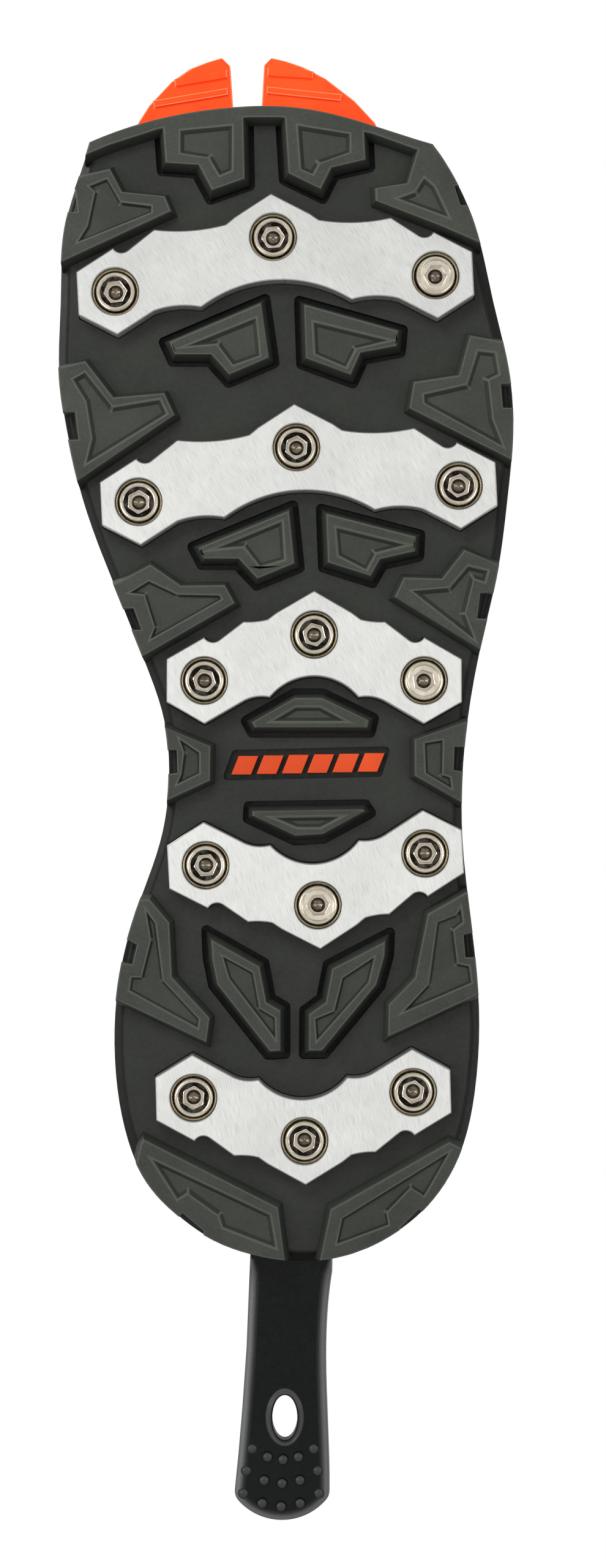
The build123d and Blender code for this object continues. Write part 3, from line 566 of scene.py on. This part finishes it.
# Rows of grip dots: (middle x, middle y, half width, how far its ends lie towards the toe), in mm.
DOT_ROWS = [(-0.4, 180.4, 8.3, 2.8), (-0.65, 186.8, 9.65, 3.3), (-0.9, 193.0, 10.2, 3.4)]
DOT_RADIUS, DOT_HEIGHT, DOT_SIDES = 1.5 * MM, 1.0 * MM, 24
DOT_LEVELS = [0.0, 0.22, 0.45, 0.66, 0.84, 0.96]


def directions(count):
    """Evenly spaced angles all the way round."""
    return [2 * pi * k / count for k in range(count)]


def edge_share(place):
    """How much of the soft edge a place has: little at the square root, all of it past the hinge."""
    return max(0.12, min(1.0, (place.y - STRAP_HINGE_Y + 5 * MM) / (7 * MM)))


def oval(centre, half_x, half_y, z, sides):
    """A level ring of points on an ellipse."""
    return [Vector((centre.x + half_x * cos(a), centre.y + half_y * sin(a), z)) for a in directions(sides)]


def dome(bm, centre, base, highlight):
    """A grip dot: a low dome standing on the strap's face, with a painted highlight on its crown."""
    rings = [oval(centre, DOT_RADIUS, DOT_RADIUS, base + 0.8 * MM, DOT_SIDES)]
    for level in DOT_LEVELS:
        radius = DOT_RADIUS * (1 - level ** 2) ** 0.5
        rings.append(oval(centre, radius, radius, base - DOT_HEIGHT * level, DOT_SIDES))
    for ring in rings_mesh(bm, rings)[4:]:
        for vertex in ring:
            vertex[highlight] = DOT_HIGHLIGHT


strap_loops = section(["heel_strap"], STRAP_HIGH - 1.7 * MM)
outline = [Vector((p.x, p.y if p.y > STRAP_HINGE_Y + MM else STRAP_ROOT_Y)) for p in strap_loops[0]]
outline = resample(outline, 0.8 * MM)
hole = resample(strap_loops[1], 0.5 * MM)

bm = bmesh.new()
# The strap's edge layer holds a painted highlight along its soft edges past the hinge.
painted_highlight = bm.verts.layers.float.new("edge")
ways = inward(outline)
edge_rings = rings_mesh(bm, [
    [Vector((*(p + way * inset * MM * edge_share(p)), STRAP_LOW + up * MM)) for p, way in zip(outline, ways)]
    for inset, up, _ in STRAP_EDGE
], close_ends=False)
for ring, (_, _, highlight) in zip(edge_rings, STRAP_EDGE):
    for vertex in ring:
        vertex[painted_highlight] = highlight if vertex.co.y > STRAP_HINGE_Y - 2 * MM else 0.0
strap_levels = (STRAP_LOW, STRAP_HIGH)
hole_rings = rings_mesh(bm, [[Vector((*p, z)) for p in hole] for z in strap_levels], close_ends=False)
for outside, inside in ((edge_rings[0], hole_rings[0]), (edge_rings[-1], hole_rings[-1])):
    border = [bm.edges.get((ring[i - 1], ring[i])) for ring in (outside, inside) for i in range(len(ring))]
    bmesh.ops.triangle_fill(bm, edges=border, use_beauty=True)
cut_rows(bm, STRAP_HINGE_Y - 2 * MM, STRAP_HINGE_Y + 12 * MM, 0.8 * MM)
bmesh.ops.triangulate(bm, faces=bm.faces)

middle = Vector((sum(p.x for p in hole), sum(p.y for p in hole))) / len(hole)
half_w = max(abs(p.x - middle.x) for p in hole)
half_l = max(abs(p.y - middle.y) for p in hole)
rings = [
    oval(middle, half_w + out * MM, half_l + out * MM, STRAP_LOW + up * MM, HOLE_SIDES)
    for out, up in HOLE_RIM
]
rings.append(rings[0])
for ring in rings_mesh(bm, rings, close_ends=False)[4:10]:
    for vertex in ring:
        vertex[painted_highlight] = RIM_HIGHLIGHT
for cx, cy, half, bow in DOT_ROWS:
    for t in (-1.0, -0.5, 0.0, 0.5, 1.0):
        sunk = 0.5 * MM if abs(t) == 1 else 0.0
        dome(bm, Vector((cx + half * t, cy - bow * t * t)) * MM, STRAP_LOW + sunk, painted_highlight)
bmesh.ops.remove_doubles(bm, verts=bm.verts, dist=SLIVER)
bmesh.ops.recalc_face_normals(bm, faces=bm.faces)
paint(bm, "painted_height_shade", lambda place: 1.0)
strap = piece("heel_strap_moulding", to_mesh("heel_strap_moulding", bm, 35), strap_rubber)
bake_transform(strap, "rearfoot", "strap",
         start=(0, STRAP_HINGE_Y - 0.9 * MM, 0), end=(0, STRAP_HINGE_Y + 10 * MM, 0))
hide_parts("heel_strap_root", "heel_strap")

# ---------------------------------------------------------------- accent blocks
bm = bmesh.new()
for outline in section(["accent_inlay"], TREAD_FLOOR + 0.7 * MM):
    block(bm, outline, TREAD_FLOOR - 0.1 * MM, TREAD_FLOOR + 1.4 * MM, 0.18 * MM)
inlay = piece("accent_blocks", to_mesh("accent_blocks", bm, 35), inlay_plastic)
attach(inlay, "rearfoot")
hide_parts("accent_inlay")


# ---------------------------------------------------------------- bars and fasteners
SIDES = 48
# Each table is (radius or half width across flats, height above the ground), in mm.
SCREW_RIM = [(2.95, 13.0), (2.95, 4.0), (5.15, 4.0), (5.2, 3.9), (5.2, 1.25), (5.17, 0.95), (5.05, 0.62),
             (4.84, 0.42), (4.55, 0.35), (4.28, 0.40), (4.10, 0.56), (4.02, 0.74), (3.95, 0.86)]
SCREW_SOCKET = [(2.84, 0.88), (2.78, 0.70), (2.68, 0.64), (2.58, 0.66), (2.50, 0.78), (2.50, 2.30),
                (2.44, 2.36)]
SCREW_BOWL = [(1.96, 2.38), (1.88, 2.50), (1.60, 2.95), (1.15, 3.30), (0.60, 3.50), (0.15, 3.55)]
WASHER = [(3.2, 4.6), (6.15, 4.6), (6.15, 1.55), (6.08, 1.25), (5.9, 1.1), (5.72, 1.25), (5.5, 1.9),
          (5.36, 2.9), (5.3, 3.8), (5.0, 4.0), (3.2, 4.0)]
# An edge nearer than this to a screw's middle belongs to its counterbore.
COUNTERBORE_REACH = 6.6 * MM
COUNTERBORE_ROUND, BAR_ROUND = 0.30 * MM, 0.09 * MM
# Which of a bar's three screws, from the arch side outwards, have a dark etched face.
DARK_FACES = {"toe_bar": (1, 1, 0), "ball_bar": (1, 1, 1), "arch_bar": (1, 1, 0),
              "heel_front_bar": (1, 0, 1), "heel_rear_bar": (1, 1, 1)}
# A screw's material slots after the first, which is plain nickel.
DARK_SLOT, PALE_SLOT, SOCKET_SLOT = 1, 2, 3


def screw_centres(name):
    """Middles of a bar's three screws, from the washers that lie under them."""
    bm = bmesh.new()
    bm.from_mesh(nodes[name + "_washers"].data)
    bmesh.ops.remove_doubles(bm, verts=bm.verts, dist=SLIVER)
    centres, left = [], set(bm.verts)
    while left:
        queue, group = [left.pop()], []
        while queue:
            here = queue.pop()
            group.append(here.co.copy())
            for edge in here.link_edges:
                other = edge.other_vert(here)
                if other in left:
                    left.discard(other)
                    queue.append(other)
        centres.append(Vector([(min(c[k] for c in group) + max(c[k] for c in group)) / 2 for k in (0, 1)]))
    bm.free()
    return sorted(centres, key=lambda c: c.x)


def circle(centre, radius, z):
    """A level ring of points on a circle."""
    return oval(centre, radius, radius, z, SIDES)


def hexagon(centre, apothem, z, turn):
    """A hexagon with as many points as a circle."""
    made = []
    for angle in directions(SIDES):
        within = (angle - turn + pi / 6) % (pi / 3) - pi / 6
        radius = apothem / cos(within)
        made.append(Vector((centre.x + radius * cos(angle), centre.y + radius * sin(angle), z)))
    return made


def add_screw(bm, centre, turn, dark):
    """A socket screw: beaded rim, sunk etched face, raised hexagonal socket ending in a bowl, plain shank."""
    first = len(bm.faces)
    rings_mesh(bm, [
        *[circle(centre, r * MM, z * MM) for r, z in SCREW_RIM],
        *[hexagon(centre, r * MM, z * MM, turn) for r, z in SCREW_SOCKET],
        *[circle(centre, r * MM, z * MM) for r, z in SCREW_BOWL],
    ])
    bm.faces.ensure_lookup_table()
    etched = first + (len(SCREW_RIM) - 1) * SIDES
    inside = first + (len(SCREW_RIM) + len(SCREW_SOCKET)) * SIDES
    for face in bm.faces[etched:etched + SIDES]:
        face.material_index = DARK_SLOT if dark else PALE_SLOT
    for face in bm.faces[inside:inside + (len(SCREW_BOWL) - 1) * SIDES]:
        face.material_index = SOCKET_SLOT


def add_bar(name, body, centres, brushing):
    """A bar's plate, with its counterbores' rims rounded more than its other edges."""
    def on_counterbore(edge):
        return all(
            v.co.z < 0.02 * MM and min((v.co.xy - c).length for c in centres) < COUNTERBORE_REACH
            for v in edge.verts
        )

    bm = cad_copy([name])
    round_edges(bm, COUNTERBORE_ROUND, 18, on_counterbore, segments=3)
    round_edges(bm, BAR_ROUND, 30, lambda edge: not on_counterbore(edge))
    bmesh.ops.triangulate(bm, faces=bm.faces)
    bar = piece(name + "_plate", to_mesh(name + "_plate", bm, 30), brushed(name + "_aluminium", brushing))
    even_normals(bar)
    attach(bar, body)
    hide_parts(name)


def add_screws(name, body, centres, first_turn):
    """A bar's three screws, each turned its own way."""
    bm = bmesh.new()
    for index, centre in enumerate(centres):
        add_screw(bm, centre, first_turn + 1.1 * index, DARK_FACES[name][index])
    bmesh.ops.recalc_face_normals(bm, faces=bm.faces)
    mesh = to_mesh(name + "_socket_screws", bm, 28)
    screws = piece(name + "_socket_screws", mesh, nickel, nickel_dark, nickel_pale, shaded_socket_nickel)
    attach(screws, body)
    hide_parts(name + "_screws")


def add_washers(name, body, centres):
    """A bar's three cup washers."""
    bm = bmesh.new()
    for centre in centres:
        rings = [circle(centre, r * MM, z * MM) for r, z in WASHER]
        rings_mesh(bm, rings + [rings[0]], close_ends=False)
    bmesh.ops.remove_doubles(bm, verts=bm.verts, dist=SLIVER)
    bmesh.ops.recalc_face_normals(bm, faces=bm.faces)
    washers = piece(name + "_cup_washers", to_mesh(name + "_cup_washers", bm, 35), washer_nickel)
    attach(washers, body)
    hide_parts(name + "_washers")


for number, name in enumerate(BARS):
    body = "forefoot" if name in FORE_BARS else "rearfoot"
    centres = screw_centres(name)
    add_bar(name, body, centres, 1.0 + 0.09 * number)
    add_screws(name, body, centres, 0.4 + 0.7 * number)
    add_washers(name, body, centres)
    inserts = nodes[name + "_inserts"]
    inserts.data.materials.clear()
    inserts.data.materials.append(brass)


# ---------------------------------------------------------------- floor
def floor_material():
    """Pale matte floor, seen only from above, so that the sole can be looked at from below."""
    made, tree, shader = material("pale_floor", (0.36, 0.36, 0.36), 0.7)
    tone = ramp(tree, noise(tree, 3, 3.0), [(0.3, (0.35, 0.35, 0.35)), (0.7, (0.37, 0.37, 0.37))])
    tree.links.new(tone, shader.inputs["Base Color"])
    shader.inputs["Emission Color"].default_value = (1, 1, 1, 1)
    shader.inputs["Emission Strength"].default_value = 0.70
    clear = tree.nodes.new("ShaderNodeBsdfTransparent")
    geometry = tree.nodes.new("ShaderNodeNewGeometry")
    choose = tree.nodes.new("ShaderNodeMixShader")
    output = tree.nodes["Material Output"]
    tree.links.new(geometry.outputs["Backfacing"], choose.inputs["Fac"])
    tree.links.new(shader.outputs["BSDF"], choose.inputs[1])
    tree.links.new(clear.outputs["BSDF"], choose.inputs[2])
    tree.links.new(choose.outputs["Shader"], output.inputs["Surface"])
    return made


FLOOR_HALF_SIZE = 20.0
bm = bmesh.new()
bmesh.ops.create_grid(bm, x_segments=1, y_segments=1, size=FLOOR_HALF_SIZE)
floor_mesh = bpy.data.meshes.new("floor")
bm.to_mesh(floor_mesh)
bm.free()
floor = piece("floor", floor_mesh, floor_material())
floor.location.z = -0.05 * MM
floor.visible_shadow = False
floor.visible_diffuse = False
floor.visible_glossy = False


# ---------------------------------------------------------------- lights
def area_light(name, place, size, power, aim=(0, 0, 0.01), length=0.0):
    """A soft light that points at aim: round, or a strip if it has a length."""
    data = bpy.data.lights.new(name, "AREA")
    data.shape = "RECTANGLE" if length else "DISK"
    data.size = size
    data.size_y = length or size
    data.energy = power
    made = bpy.data.objects.new(name, data)
    bpy.context.scene.collection.objects.link(made)
    made.location = place
    made.rotation_euler = (Vector(aim) - Vector(place)).to_track_quat("-Z", "Y").to_euler()
    return made


# The key shapes the rubber and leaves no reflection of itself on the bars.
key_below = area_light("key_below", (-0.28, -0.54, -0.62), 0.36, 5.6)
key_below.visible_glossy = False
area_light("strip_left", (-0.72, 0.0, -0.72), 0.24, 3.4, length=1.2)
area_light("strip_right", (0.72, 0.0, -0.72), 0.22, 1.9, length=1.2)
area_light("key_above", (-0.7, -0.6, 0.6), 0.6, 4.6)
area_light("fill_above", (0.7, 0.4, 0.8), 0.6, 1.0)

# ---------------------------------------------------------------- world
# Brightness of the studio by direction: 0 is straight down, 0.5 the horizon and 1 straight up.
STUDIO = [(0.0, 0.60), (0.016, 0.64), (0.036, 0.92), (0.20, 0.80),
          (0.42, 0.30), (0.58, 0.35), (0.75, 0.55), (1.0, 0.60)]


def studio_world():
    """Lights the object by the studio's brightness and shows pure white behind it."""
    world = bpy.data.worlds.new("studio")
    world.use_nodes = True
    tree = world.node_tree
    background = tree.nodes["Background"]
    background.inputs["Strength"].default_value = 0.76
    direction = tree.nodes.new("ShaderNodeTexCoord")
    parts = tree.nodes.new("ShaderNodeSeparateXYZ")
    level = tree.nodes.new("ShaderNodeMapRange")
    level.inputs["From Min"].default_value = -1.0
    tree.links.new(direction.outputs["Generated"], parts.inputs["Vector"])
    tree.links.new(parts.outputs["Z"], level.inputs["Value"])
    tree.links.new(ramp(tree, level.outputs["Result"], STUDIO), background.inputs["Color"])
    seen = tree.nodes.new("ShaderNodeBackground")
    seen.inputs["Color"].default_value = (1, 1, 1, 1)
    seen.inputs["Strength"].default_value = 1.0
    path = tree.nodes.new("ShaderNodeLightPath")
    choose = tree.nodes.new("ShaderNodeMixShader")
    tree.links.new(path.outputs["Is Camera Ray"], choose.inputs["Fac"])
    tree.links.new(background.outputs["Background"], choose.inputs[1])
    tree.links.new(seen.outputs["Background"], choose.inputs[2])
    tree.links.new(choose.outputs["Shader"], tree.nodes["World Output"].inputs["Surface"])
    return world


bpy.context.scene.world = studio_world()
bpy.context.scene.view_settings.view_transform = "Standard"

# ---------------------------------------------------------------- camera, looking straight up at the tread
CAMERA_DISTANCE = 0.700
FRAME_HEIGHT = 0.416
SENSOR = 36
camera_data = bpy.data.cameras.new("camera")
camera_data.sensor_width = SENSOR
camera_data.lens = SENSOR * CAMERA_DISTANCE / FRAME_HEIGHT
camera_data.clip_start = 0.05
camera = bpy.data.objects.new("camera", camera_data)
bpy.context.scene.collection.objects.link(camera)
camera.location = (5 * MM, -1.5 * MM, -CAMERA_DISTANCE)
camera.rotation_euler = (pi, 0, 0)
bpy.context.scene.camera = camera

bpy.context.view_layer.update()
